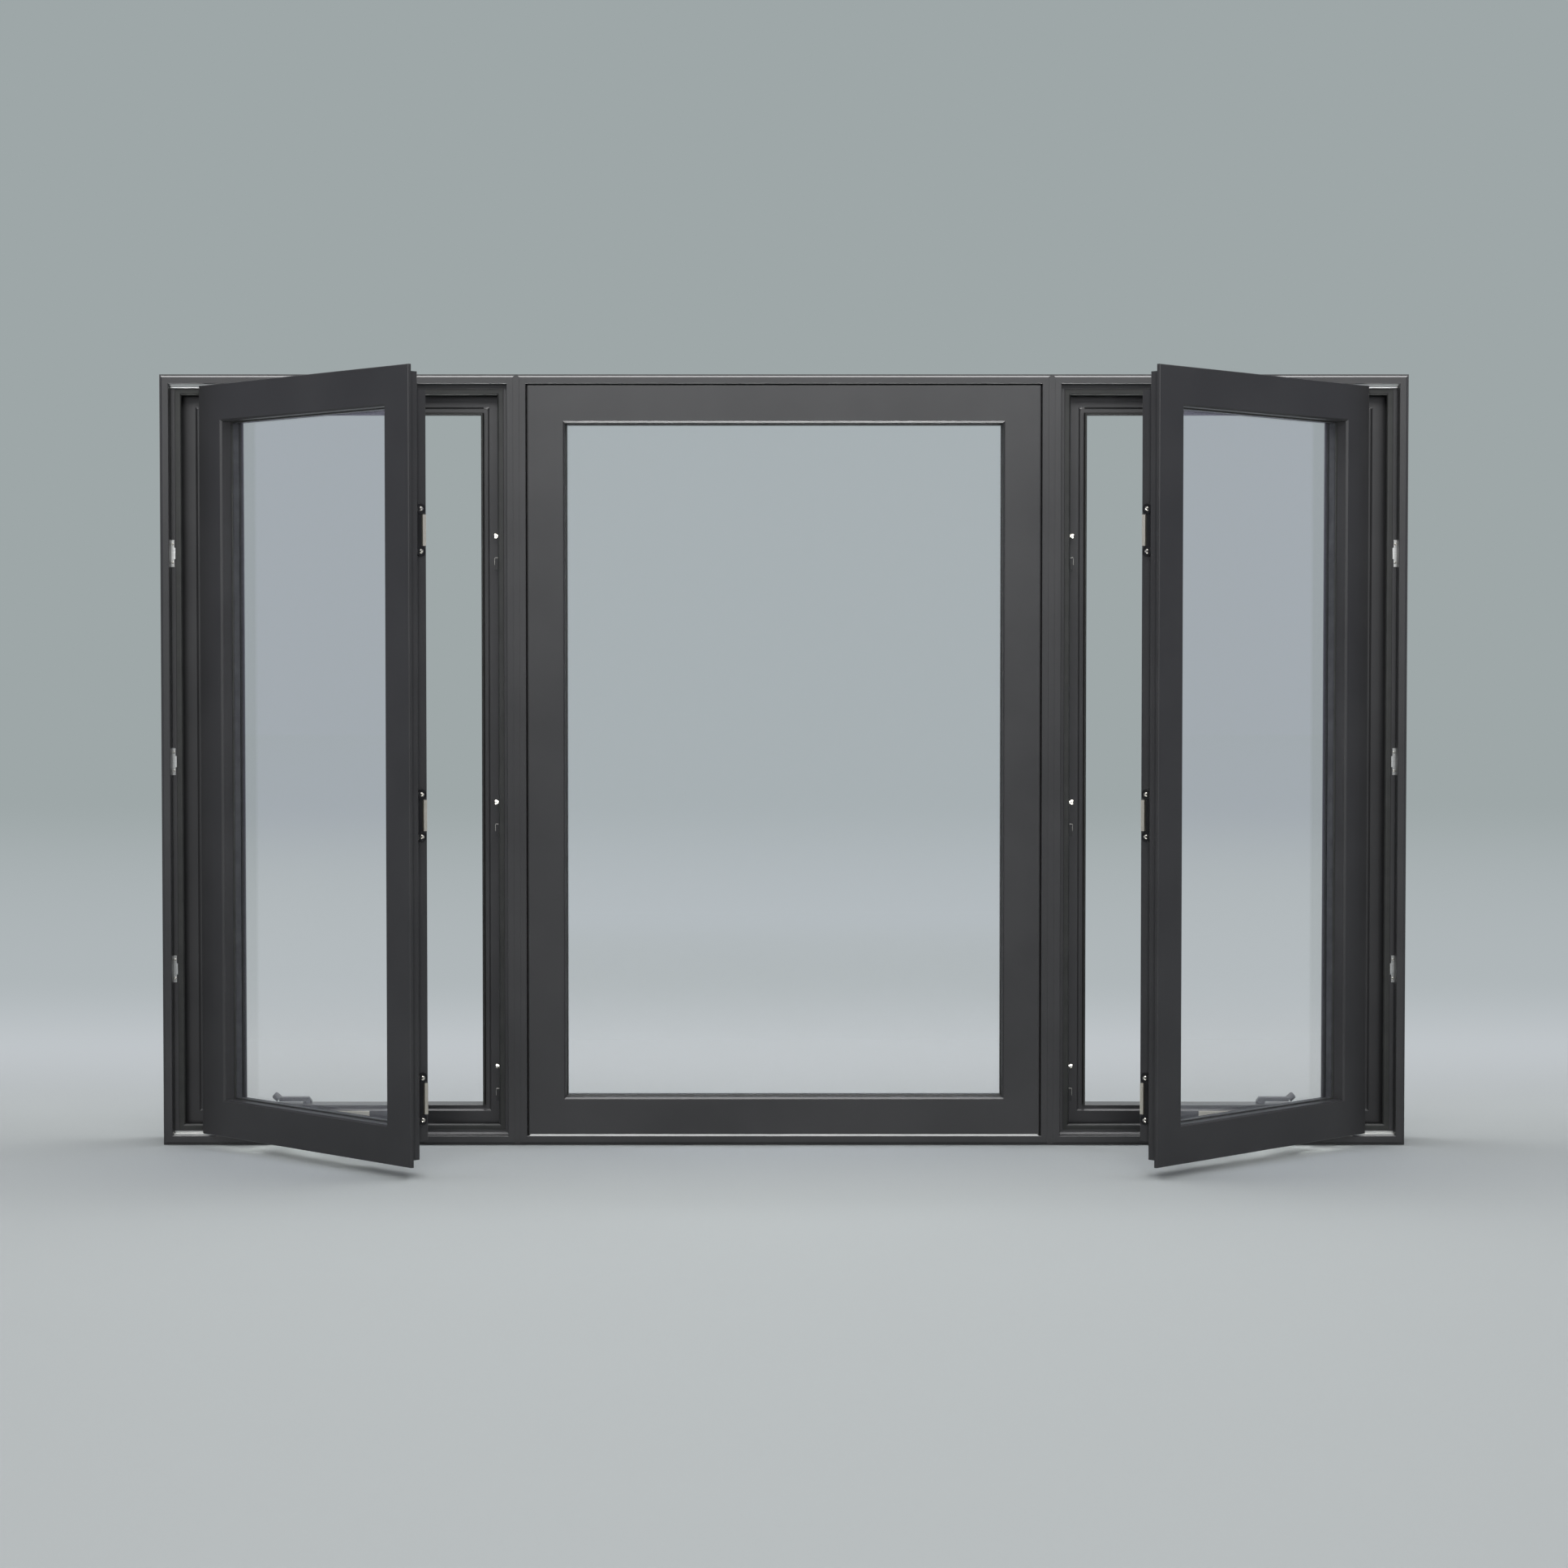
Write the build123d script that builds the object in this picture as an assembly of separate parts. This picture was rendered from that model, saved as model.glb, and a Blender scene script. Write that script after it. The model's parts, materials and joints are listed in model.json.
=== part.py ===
from build123d import *
import os
from math import atan2, cos, degrees, hypot, radians, sin, sqrt

# Triple casement window: a fixed picture sash between two outward-opening casements.
# X runs to the right as seen from outdoors, the outdoor side is -Y and Z is up.
# The origin is on the underside of the sill, at the middle of the width and of the depth.
# In a section, "in" is the distance inwards from the edge of a unit or of a sash,
# and "deep" is the distance from the outdoor face towards the room.

# Overall sizes
SIDE_WIDTH = 609.6
CENTRE_WIDTH = 914.4
HEIGHT = 1320.8
DEPTH = 116.0
OPEN_ANGLE = 45.0

# Frame section
RIM_IN = 3.0
RIM_DEEP = 8.0
RIM_BEVEL = 2.5
FACE_IN = 16.4
LEDGE_FLAT = 21.0
LEDGE_DEEP = 24.0
SILL_LEDGE_RISE = 3.5
SHELF_STEP = 7.6
STOP_DEEP = 66.0
STOP_FACE = 27.2
STOP_BEVEL = 3.0
INNER_LAND = 7.0
ROOM_EDGE = 2.0
SOFT_EDGE = 0.8

# Sash section
SASH_GAP = 3.0
FLANGE_IN = 10.0
FLANGE_THICK = 6.0
RABBET_DEEP = 26.5
STILE_BODY_IN = 24.0
RAIL_BODY_IN = 37.0
SASH_DEEP = 55.0
SASH_FACE = 60.4
SASH_BEVEL = 3.0
GLASS_SEAT_DEEP = 23.0
GLASS_BITE = 12.0

# Insulating glass and its bead
PANE_THICK = 4.0
PANE_SPACE = 11.0
GLASS_EDGE_GAP = 2.0
SPACER_WIDTH = 7.0
SPACER_SET_BACK = 5.0
BEAD_LIP = 9.0

# Weatherstrips
OUTER_SEAL_HIGH = 10.0
OUTER_SEAL_WIDE = 8.0
INNER_SEAL_HIGH = 4.0
INNER_SEAL_FOOT = 7.0
INNER_SEAL_GAP = 4.0

# Strip in the groove between two units
MULL_STRIP_SUNK = 0.3
MULL_STRIP_SHORT = 4.0

# Track hinge: a sliding shoe under the sash corner and a swinging support arm
ARM_LENGTH = 91.3
PIVOT_IN = 10.0
PIVOT_DEEP = 13.0
TRACK_WIDTH = 9.0
TRACK_END_GAP = 0.5
TRACK_FLANGE_GAP = 0.8
TRACK_GROOVE = 5.0
TRACK_GROOVE_DEEP = 1.2
TRACK_FENCE_GAP = 1.0
TRACK_FENCE_THICK = 2.0
TRACK_FENCE_RISE = 3.8
TRACK_OVERRUN = 12.0
SHOE_AHEAD = 24.0
SHOE_BEHIND = 4.0
SHOE_CLEARANCE = 0.3
SHOE_PROUD = 2.2
ARM_WIDTH = 10.5
ARM_THICK = 2.5
ARM_LIFT = 0.3
HINGE_PLATE_THICK = 2.5
HINGE_PLATE_OVERRUN = 60.0
HINGE_BOSS = 9.0

# Snubbers on the hinge jamb
SNUBBER_HEIGHTS = (302.0, 659.0, 1016.0)
SNUBBER_LONG = 46.0
SNUBBER_WIDE = 5.0
SNUBBER_TAB = 19.0
SNUBBER_TAB_WIDE = 7.0
SNUBBER_THICK = 3.0

# Lock bar with studs, its guides, and the keepers on the sash
STUD_HEIGHTS = (131.8, 588.8, 1046.8)
LOCK_BAR_WIDE = 10.0
LOCK_BAR_THICK = 2.5
LOCK_BAR_OVERRUN = 80.0
LOCK_SEAL_GAP = 0.5
STUD_NECK = 5.0
STUD_HEAD = 9.0
STUD_REACH = 14.0
STUD_HEAD_THICK = 3.5
GUIDE_DROP = 48.5
GUIDE_LONG = 21.0
GUIDE_WALL = 3.0
GUIDE_CLEARANCE = 0.3
GUIDE_REACH = 15.5
KEEPER_DROP = 7.0
KEEPER_LONG = 85.0
KEEPER_THICK = 2.5
KEEPER_EAR = 17.0
KEEPER_EAR_THICK = 3.6
KEEPER_EDGE = 4.5
STRIKE_LONG = 50.0
STRIKE_WIDE = 6.5
STRIKE_THICK = 5.0
STRIKE_EDGE = 4.0

# Operator: gear plate on the sill's stop, arm to the sash, crank handle in the room
OPERATOR_END = 350.0
OPERATOR_LONG = 270.0
OPERATOR_THICK = 6.0
OPERATOR_EDGE = 1.0
OPERATOR_SHELF_LONG = 40.0
OPERATOR_SHELF_THICK = 3.0
OPERATOR_SHELF_LIFT = 2.0
OPERATOR_PIVOT = 180.0
OPERATOR_PIVOT_OUT = 12.0
OPERATOR_PIN = 8.0
OPERATOR_ARM_LENGTH = 200.0
OPERATOR_ARM_WIDE = 15.0
OPERATOR_ARM_THICK = 4.0
SASH_TRACK_START = 215.0
SASH_TRACK_LONG = 185.0
SASH_TRACK_DEEP = 41.0
SASH_TRACK_WIDE = 13.0
SASH_TRACK_HIGH = 8.0
SASH_TRACK_WALL = 1.5
ROLLER_GAP = 0.3
CRANK_FROM_SIDE = 239.0
CRANK_LENGTH = 49.0
CRANK_DEEP = 92.0
CRANK_HUB = 16.0
CRANK_HUB_HIGH = 4.0
CRANK_NOSE_SLANT = 6.0
CRANK_BAR_WIDE = 12.0
CRANK_TIP_WIDE = 9.0
CRANK_BAR_HIGH = 8.0
CRANK_KNOB = 13.0
CRANK_KNOB_LONG = 12.0
CRANK_KNOB_TILT = 50.0
CRANK_KNOB_EDGE = 2.0
CRANK_BAR_EDGE = 1.5

# Lock lever in the room
LEVER_HEIGHT = 400.0
LEVER_PLATE_LONG = 90.0
LEVER_PLATE_WIDE = 20.0
LEVER_PLATE_THICK = 4.0
LEVER_LONG = 70.0
LEVER_WIDE = 12.0
LEVER_THICK = 7.0
LEVER_HUB = 16.0
LEVER_STAND_OFF = 9.0
LEVER_FROM_EDGE = 30.0

# Sizes that follow from the ones above
SHELF_IN = FACE_IN + SHELF_STEP
STOP_IN = SHELF_IN + STOP_FACE
LAND_IN = STOP_IN + STOP_BEVEL
LAND_DEEP = STOP_DEEP + STOP_BEVEL
OPENING_IN = LAND_IN + INNER_LAND
SASH_IN = FACE_IN + SASH_GAP
GLASS_OPENING_IN = SASH_FACE + SASH_BEVEL
POCKET_IN = GLASS_OPENING_IN - GLASS_BITE
BEAD_DEEP = GLASS_SEAT_DEEP + 2 * PANE_THICK + PANE_SPACE
FULL_WIDTH = 2 * SIDE_WIDTH + CENTRE_WIDTH
SEAM_X = CENTRE_WIDTH / 2
OUTER_X = -FULL_WIDTH / 2
SIDE_X = OUTER_X + SIDE_WIDTH / 2
FRONT_Y = -DEPTH / 2
SASH_HEIGHT = HEIGHT - 2 * SASH_IN
SIDE_SASH_WIDTH = SIDE_WIDTH - 2 * SASH_IN
CENTRE_SASH_WIDTH = CENTRE_WIDTH - 2 * SASH_IN
TURN = radians(OPEN_ANGLE)
SHOE_TRAVEL = 2 * ARM_LENGTH * (1 - cos(TURN))
PIVOT_X = OUTER_X + SASH_IN + PIVOT_IN
PIVOT_Y = FRONT_Y + PIVOT_DEEP
OPEN_PIVOT_X = PIVOT_X + SHOE_TRAVEL
SEAL_BACK_Y = FRONT_Y + LEDGE_DEEP + OUTER_SEAL_WIDE
SASH_RAIL_LOW = SASH_IN + RAIL_BODY_IN

os.makedirs("parts", exist_ok=True)


def save(name, *solids):
    """Write one node, made of one solid or of several that do not touch."""
    shape = solids[0] if len(solids) == 1 else Compound(children=list(solids))
    export_step(shape, os.path.join("parts", name + ".step"))


def block(x0, x1, y0, y1, z0, z1):
    """A box between two corners."""
    size = Box(x1 - x0, y1 - y0, z1 - z0)
    return Pos((x0 + x1) / 2, (y0 + y1) / 2, (z0 + z1) / 2) * size


def eased(corners):
    """Points of an outline in which a corner given with a third number is cut by that much."""
    points = []
    count = len(corners)
    for index, corner in enumerate(corners):
        if len(corner) == 2:
            points.append(corner)
            continue
        across_in, deep, cut = corner
        for other in (corners[index - 1], corners[(index + 1) % count]):
            reach = hypot(other[0] - across_in, other[1] - deep)
            share = cut / reach
            points.append((across_in + share * (other[0] - across_in), deep + share * (other[1] - deep)))
    return points


def section(corners):
    """A closed section from (in, deep) corners, standing as for a sill."""
    outline = Polyline(*[(FRONT_Y + deep, inward) for inward, deep in eased(corners)], close=True)
    return Plane.YZ * make_face(outline)


def mitred(profile, length, reach):
    """A bar along X whose ends are cut at 45 degrees over its reach inwards."""
    straight = Pos(-length / 2, 0, 0) * extrude(profile, length, dir=(1, 0, 0))
    half = length / 2
    trapezoid = Polyline((-half, 0), (half, 0), (half - reach, reach), (reach - half, reach), close=True)
    wedge = extrude(Plane.XZ * make_face(trapezoid), 2 * DEPTH, both=True)
    return straight & wedge


def four_sides(bottom, top, side, width, height, x):
    """Bottom, top, left and right bar of a frame, each turned to its place."""
    return (
        Pos(x, 0, 0) * bottom,
        Pos(x, 0, height) * mirror(top, about=Plane.XY),
        Pos(x - width / 2, 0, height / 2) * Rot(0, 90, 0) * side,
        Pos(x + width / 2, 0, height / 2) * Rot(0, -90, 0) * side,
    )


def ring(profile, width, height, x, inset, reach):
    """One closed frame of a single section, set in by the inset on all four sides."""
    inner_width = width - 2 * inset
    inner_height = height - 2 * inset
    rail = mitred(profile, inner_width, reach)
    stile = mitred(profile, inner_height, reach)
    bottom, top, left, right = four_sides(rail, rail, stile, inner_width, inner_height, x)
    return Pos(0, 0, inset) * (bottom + top + left + right)


def frame_profile(ledge_rise):
    """Section of a frame member; the back of the sill's ledge rises towards the room to shed water."""
    return section([
        (0, RIM_DEEP),
        (RIM_IN, RIM_DEEP),
        (RIM_IN, RIM_BEVEL),
        (RIM_IN + RIM_BEVEL, 0),
        (FACE_IN, 0, SOFT_EDGE),
        (FACE_IN, LEDGE_FLAT),
        (FACE_IN + ledge_rise, LEDGE_DEEP),
        (SHELF_IN, LEDGE_DEEP, SOFT_EDGE),
        (SHELF_IN, STOP_DEEP),
        (STOP_IN, STOP_DEEP),
        (LAND_IN, LAND_DEEP),
        (OPENING_IN, LAND_DEEP, SOFT_EDGE),
        (OPENING_IN, DEPTH, ROOM_EDGE),
        (0, DEPTH),
    ])


def unit_frame(width, x):
    """Sill, head, left and right jamb of one unit."""
    sill = mitred(frame_profile(SILL_LEDGE_RISE), width, OPENING_IN)
    head = mitred(frame_profile(0), width, OPENING_IN)
    jamb = mitred(frame_profile(0), HEIGHT, OPENING_IN)
    return four_sides(sill, head, jamb, width, HEIGHT, x)


def sash_profile(body_in):
    """Section of a sash member: cover flange, rabbet for the seal, body and glass pocket."""
    return section([
        (0, 0, SOFT_EDGE),
        (SASH_FACE, 0),
        (GLASS_OPENING_IN, SASH_BEVEL),
        (GLASS_OPENING_IN, GLASS_SEAT_DEEP),
        (POCKET_IN, GLASS_SEAT_DEEP),
        (POCKET_IN, SASH_DEEP),
        (body_in, SASH_DEEP, SOFT_EDGE),
        (body_in, RABBET_DEEP),
        (FLANGE_IN, RABBET_DEEP, SOFT_EDGE),
        (FLANGE_IN, FLANGE_THICK),
        (0, FLANGE_THICK),
    ])


def sash_members(width, x):
    """Bottom rail, top rail, left and right stile of one closed sash."""
    rail = mitred(sash_profile(RAIL_BODY_IN), width, GLASS_OPENING_IN)
    stile = mitred(sash_profile(STILE_BODY_IN), SASH_HEIGHT, GLASS_OPENING_IN)
    notch_y = FRONT_Y + RABBET_DEEP
    half = SASH_HEIGHT / 2
    for end in (-half, half - RAIL_BODY_IN):
        stile -= block(end, end + RAIL_BODY_IN, notch_y, notch_y + SASH_DEEP, 0, RAIL_BODY_IN)
    return [Pos(0, 0, SASH_IN) * bar for bar in four_sides(rail, rail, stile, width, SASH_HEIGHT, x)]


def glass_unit(width, x):
    """Two panes, the spacer between their edges and the bead that holds them."""
    inset = POCKET_IN + GLASS_EDGE_GAP
    half = width / 2 - inset
    low = SASH_IN + inset
    high = HEIGHT - SASH_IN - inset
    outer_y = FRONT_Y + GLASS_SEAT_DEEP
    inner_y = outer_y + PANE_THICK + PANE_SPACE
    outer = block(x - half, x + half, outer_y, outer_y + PANE_THICK, low, high)
    inner = block(x - half, x + half, inner_y, inner_y + PANE_THICK, low, high)
    space_deep = GLASS_SEAT_DEEP + PANE_THICK
    spacer_section = section([
        (0, space_deep),
        (SPACER_WIDTH, space_deep),
        (SPACER_WIDTH, space_deep + PANE_SPACE),
        (0, space_deep + PANE_SPACE),
    ])
    spacer = ring(spacer_section, width, SASH_HEIGHT, x, inset + SPACER_SET_BACK, SPACER_WIDTH)
    bead_slope = SASH_DEEP - BEAD_DEEP - BEAD_LIP
    bead_section = section([
        (0, BEAD_DEEP),
        (GLASS_BITE, BEAD_DEEP),
        (GLASS_BITE, BEAD_DEEP + BEAD_LIP),
        (GLASS_BITE - bead_slope, SASH_DEEP),
        (0, SASH_DEEP),
    ])
    bead = ring(bead_section, width, SASH_HEIGHT, x, POCKET_IN, GLASS_BITE)
    return outer, inner, Pos(0, 0, SASH_IN) * spacer, Pos(0, 0, SASH_IN) * bead


def outer_seal(width, x):
    """Weatherstrip on the shelf wall, behind the rabbet of the closed sash: a D-shaped bulb."""
    radius = OUTER_SEAL_WIDE / 2
    back = SEAL_BACK_Y
    front = back - OUTER_SEAL_WIDE
    shoulder = OUTER_SEAL_HIGH - radius
    foot = Polyline((back, shoulder), (back, 0), (front, 0), (front, shoulder))
    crown = ThreePointArc((front, shoulder), (front + radius, OUTER_SEAL_HIGH), (back, shoulder))
    profile = Plane.YZ * make_face(foot + crown)
    return ring(profile, width, HEIGHT, x, SHELF_IN, OUTER_SEAL_HIGH)


def inner_seal(width, x, clearance):
    """Weatherstrip on the jambs and the head behind the land, with its bulb towards the sash."""
    radius = INNER_SEAL_HIGH / 2
    crest = FRONT_Y + SASH_DEEP + clearance
    shoulder = crest + radius
    back = FRONT_Y + LAND_DEEP + INNER_SEAL_FOOT
    foot = Polyline((shoulder, INNER_SEAL_HIGH), (back, INNER_SEAL_HIGH), (back, 0), (shoulder, 0))
    crown = ThreePointArc((shoulder, 0), (crest, radius), (shoulder, INNER_SEAL_HIGH))
    profile = Plane.YZ * make_face(foot + crown)
    seal = ring(profile, width, HEIGHT, x, OPENING_IN, INNER_SEAL_HIGH)
    half = width / 2
    return seal - block(x - half, x + half, crest, back, OPENING_IN, OPENING_IN + INNER_SEAL_HIGH)


def mull_strip(x):
    """Filler in the groove between two units, seated on their bevelled edges."""
    lip = RIM_IN + RIM_BEVEL - MULL_STRIP_SUNK
    half = [(lip, MULL_STRIP_SUNK), (RIM_IN, RIM_BEVEL), (RIM_IN, RIM_DEEP)]
    right = [(x + wide, FRONT_Y + deep) for wide, deep in half]
    left = [(x - wide, FRONT_Y + deep) for wide, deep in reversed(half)]
    strip = extrude(make_face(Polyline(*right, *left, close=True)), HEIGHT - 2 * MULL_STRIP_SHORT)
    return Pos(0, 0, MULL_STRIP_SHORT) * strip


def swing(shape):
    """Carry a piece of the closed left sash to the opening angle on its track hinge."""
    home = Pos(-PIVOT_X, -PIVOT_Y, 0) * shape
    return Pos(OPEN_PIVOT_X, PIVOT_Y, 0) * Rot(0, 0, -OPEN_ANGLE) * home


def link(start, end, wide, low, thick):
    """A flat bar with round ends between two pivots."""
    span_x = end[0] - start[0]
    span_y = end[1] - start[1]
    slot = SlotCenterToCenter(hypot(span_x, span_y), wide)
    middle = Pos((start[0] + end[0]) / 2, (start[1] + end[1]) / 2, low)
    return extrude(middle * Rot(0, 0, degrees(atan2(span_y, span_x))) * slot, thick, dir=(0, 0, 1))


def rod(point, low, high, diameter):
    """An upright round pin."""
    return Pos(point[0], point[1], (low + high) / 2) * Cylinder(diameter / 2, high - low)


def flip(shape):
    """The same piece at the head instead of the sill."""
    return mirror(shape, about=Plane((0, 0, HEIGHT / 2), z_dir=(0, 0, 1)))


def across(shape):
    """The same piece on the right-hand casement."""
    return mirror(shape, about=Plane.YZ)


def on_both_sides(*shapes):
    """Pieces of the left casement, followed by the same pieces of the right one."""
    return [*shapes, *[across(shape) for shape in shapes]]


# Heights in the hinge at the sill, from the ledge up to the sash
TRACK_TOP = SASH_IN - TRACK_FLANGE_GAP
GROOVE_LOW = TRACK_TOP - TRACK_GROOVE_DEEP
SHOE_TOP = TRACK_TOP + SHOE_PROUD
HINGE_ARM_LOW = SHOE_TOP + ARM_LIFT
HINGE_ARM_TOP = HINGE_ARM_LOW + ARM_THICK
HINGE_PLATE_TOP = SASH_IN + FLANGE_IN
HINGE_PLATE_LOW = HINGE_PLATE_TOP - HINGE_PLATE_THICK
HINGE_FIXED = (PIVOT_X + 2 * ARM_LENGTH, PIVOT_Y)
HINGE_KNEE = (OPEN_PIVOT_X + ARM_LENGTH * cos(TURN), PIVOT_Y - ARM_LENGTH * sin(TURN))


def hinge_track():
    """Grooved steel rail on the ledge, with a fence behind it and the post of the support arm."""
    front = PIVOT_DEEP - TRACK_WIDTH / 2
    fence = front + TRACK_WIDTH + TRACK_FENCE_GAP
    back = fence + TRACK_FENCE_THICK
    groove_front = PIVOT_DEEP - TRACK_GROOVE / 2
    groove_back = groove_front + TRACK_GROOVE
    rail_section = section([
        (FACE_IN, front),
        (TRACK_TOP, front),
        (TRACK_TOP, groove_front),
        (GROOVE_LOW, groove_front),
        (GROOVE_LOW, groove_back),
        (TRACK_TOP, groove_back),
        (TRACK_TOP, fence),
        (TRACK_TOP + TRACK_FENCE_RISE, fence),
        (TRACK_TOP + TRACK_FENCE_RISE, back),
        (FACE_IN, back),
    ])
    start = OUTER_X + FACE_IN + TRACK_END_GAP
    length = HINGE_FIXED[0] + TRACK_OVERRUN - start
    rail = Pos(start, 0, 0) * extrude(rail_section, length, dir=(1, 0, 0))
    return rail + rod(HINGE_FIXED, GROOVE_LOW, HINGE_ARM_LOW, TRACK_WIDTH)


def hinge_shoe():
    """Slider with a tongue in the groove and a broad top that carries the corner of the sash."""
    tongue = TRACK_GROOVE / 2 - SHOE_CLEARANCE
    half = TRACK_WIDTH / 2
    start = OPEN_PIVOT_X - SHOE_BEHIND
    end = OPEN_PIVOT_X + SHOE_AHEAD
    shoe = block(start, end, PIVOT_Y - tongue, PIVOT_Y + tongue, GROOVE_LOW, TRACK_TOP)
    return shoe + block(start, end, PIVOT_Y - half, PIVOT_Y + half, TRACK_TOP, SHOE_TOP)


def hinge_arm():
    """Support arm from the post on the track to the knee under the sash."""
    return link(HINGE_FIXED, HINGE_KNEE, ARM_WIDTH, HINGE_ARM_LOW, ARM_THICK)


def hinge_sash_plate():
    """Plate under the sash with a boss on the shoe and a boss on the support arm."""
    corner = (PIVOT_X, PIVOT_Y)
    knee = (PIVOT_X + ARM_LENGTH, PIVOT_Y)
    end = (PIVOT_X + ARM_LENGTH + HINGE_PLATE_OVERRUN, PIVOT_Y)
    plate = link(corner, end, ARM_WIDTH, HINGE_PLATE_LOW, HINGE_PLATE_THICK)
    plate += rod(corner, SHOE_TOP, HINGE_PLATE_LOW, HINGE_BOSS)
    plate += rod(knee, HINGE_ARM_TOP, HINGE_PLATE_LOW, HINGE_BOSS)
    return swing(plate)


def snubber(height):
    """Flat plate with a tab on the ledge of the hinge jamb."""
    half = SNUBBER_LONG / 2
    tab_half = SNUBBER_TAB / 2
    left = OUTER_X + FACE_IN
    back = FRONT_Y + LEDGE_DEEP
    front = back - SNUBBER_THICK
    plate = block(left, left + SNUBBER_WIDE, front, back, height - half, height + half)
    return plate + block(left, left + SNUBBER_TAB_WIDE, front, back, height - tab_half, height + tab_half)


# Lines on which the lock works: the jamb's shelf wall, the lock bar and the edge of the closed sash
LOCK_WALL_X = -SEAM_X - SHELF_IN
LOCK_BAR_FACE_X = LOCK_WALL_X - LOCK_BAR_THICK
GUIDE_HALF = LOCK_BAR_WIDE / 2 + GUIDE_CLEARANCE + GUIDE_WALL
LOCK_Y = SEAL_BACK_Y + LOCK_SEAL_GAP + GUIDE_HALF
SASH_EDGE_X = -SEAM_X - SASH_IN - STILE_BODY_IN


def lock_bar():
    """Sliding bar on the lock jamb with a mushroom stud for each keeper."""
    half = LOCK_BAR_WIDE / 2
    low = STUD_HEIGHTS[0] - LOCK_BAR_OVERRUN
    high = STUD_HEIGHTS[-1] + LOCK_BAR_OVERRUN
    bar = block(LOCK_BAR_FACE_X, LOCK_WALL_X, LOCK_Y - half, LOCK_Y + half, low, high)
    neck_radius = STUD_NECK / 2
    head_radius = STUD_HEAD / 2
    head_low = STUD_REACH - STUD_HEAD_THICK
    outline = Polyline(
        (0, 0),
        (neck_radius, 0),
        (neck_radius, head_low),
        (head_radius, head_low),
        (head_radius, STUD_REACH),
        (0, STUD_REACH),
        close=True,
    )
    stud = revolve(Plane.XZ * make_face(outline), Axis.Z)
    for height in STUD_HEIGHTS:
        bar += Pos(LOCK_BAR_FACE_X, LOCK_Y, height) * Rot(0, -90, 0) * stud
    return bar


def lock_guide(height):
    """Plastic saddle that keeps the lock bar against the jamb."""
    middle = height - GUIDE_DROP
    half = LOCK_BAR_WIDE / 2 + GUIDE_CLEARANCE
    low = middle - GUIDE_LONG / 2
    high = middle + GUIDE_LONG / 2
    tip_x = LOCK_WALL_X - GUIDE_REACH
    inner_x = LOCK_BAR_FACE_X - GUIDE_CLEARANCE
    saddle = block(tip_x, LOCK_WALL_X, LOCK_Y - GUIDE_HALF, LOCK_Y + GUIDE_HALF, low, high)
    return saddle - block(inner_x, LOCK_WALL_X, LOCK_Y - half, LOCK_Y + half, low, high)


# Depths across the edge of the lock stile: the keeper lies in front of the strike
STRIKE_BACK_Y = FRONT_Y + SASH_DEEP - STRIKE_EDGE
STRIKE_FRONT_Y = STRIKE_BACK_Y - STRIKE_WIDE
KEEPER_Y = FRONT_Y + SASH_DEEP - KEEPER_EDGE - KEEPER_EAR / 2


def keeper(height):
    """Plate on the edge of the lock stile, with a round ear for a screw at each end."""
    middle = height - KEEPER_DROP
    radius = KEEPER_EAR / 2
    reach = KEEPER_LONG / 2 - radius
    plate_x = SASH_EDGE_X + KEEPER_THICK
    plate = block(SASH_EDGE_X, plate_x, KEEPER_Y - radius, STRIKE_FRONT_Y, middle - reach, middle + reach)
    disc = Rot(0, 90, 0) * Cylinder(radius, KEEPER_EAR_THICK)
    for ear_z in (middle - reach, middle + reach):
        plate += Pos(SASH_EDGE_X + KEEPER_EAR_THICK / 2, KEEPER_Y, ear_z) * disc
    return swing(plate)


def keeper_strike(height):
    """Bar beside the keeper that the head of the stud pulls on."""
    middle = height - KEEPER_DROP
    half = STRIKE_LONG / 2
    strike_x = SASH_EDGE_X + STRIKE_THICK
    return swing(block(SASH_EDGE_X, strike_x, STRIKE_FRONT_Y, STRIKE_BACK_Y, middle - half, middle + half))


# Lines on which the operator works, and its heights above the outer weatherstrip
OPERATOR_X = OUTER_X + OPERATOR_END
OPERATOR_FACE_Y = FRONT_Y + STOP_DEEP - OPERATOR_THICK
OPERATOR_AXIS = (OUTER_X + OPERATOR_PIVOT, OPERATOR_FACE_Y - OPERATOR_PIVOT_OUT)
OPERATOR_SHELF_LOW = SHELF_IN + OUTER_SEAL_HIGH + OPERATOR_SHELF_LIFT
OPERATOR_ARM_LOW = OPERATOR_SHELF_LOW + OPERATOR_SHELF_THICK
OPERATOR_ARM_TOP = OPERATOR_ARM_LOW + OPERATOR_ARM_THICK
SASH_TRACK_Y = FRONT_Y + SASH_TRACK_DEEP


def operator():
    """Gear plate on the front of the sill's stop, with the shelf that carries the arm."""
    back = FRONT_Y + STOP_DEEP
    start = OPERATOR_X - OPERATOR_LONG
    plate = block(start, OPERATOR_X, OPERATOR_FACE_Y, back, SHELF_IN + OPERATOR_EDGE, STOP_IN)
    half = OPERATOR_SHELF_LONG / 2
    shelf_y = OPERATOR_AXIS[1] - OPERATOR_PIN
    left = OPERATOR_AXIS[0] - half
    right = OPERATOR_AXIS[0] + half
    return plate + block(left, right, shelf_y, OPERATOR_FACE_Y, OPERATOR_SHELF_LOW, OPERATOR_ARM_LOW)


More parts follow.
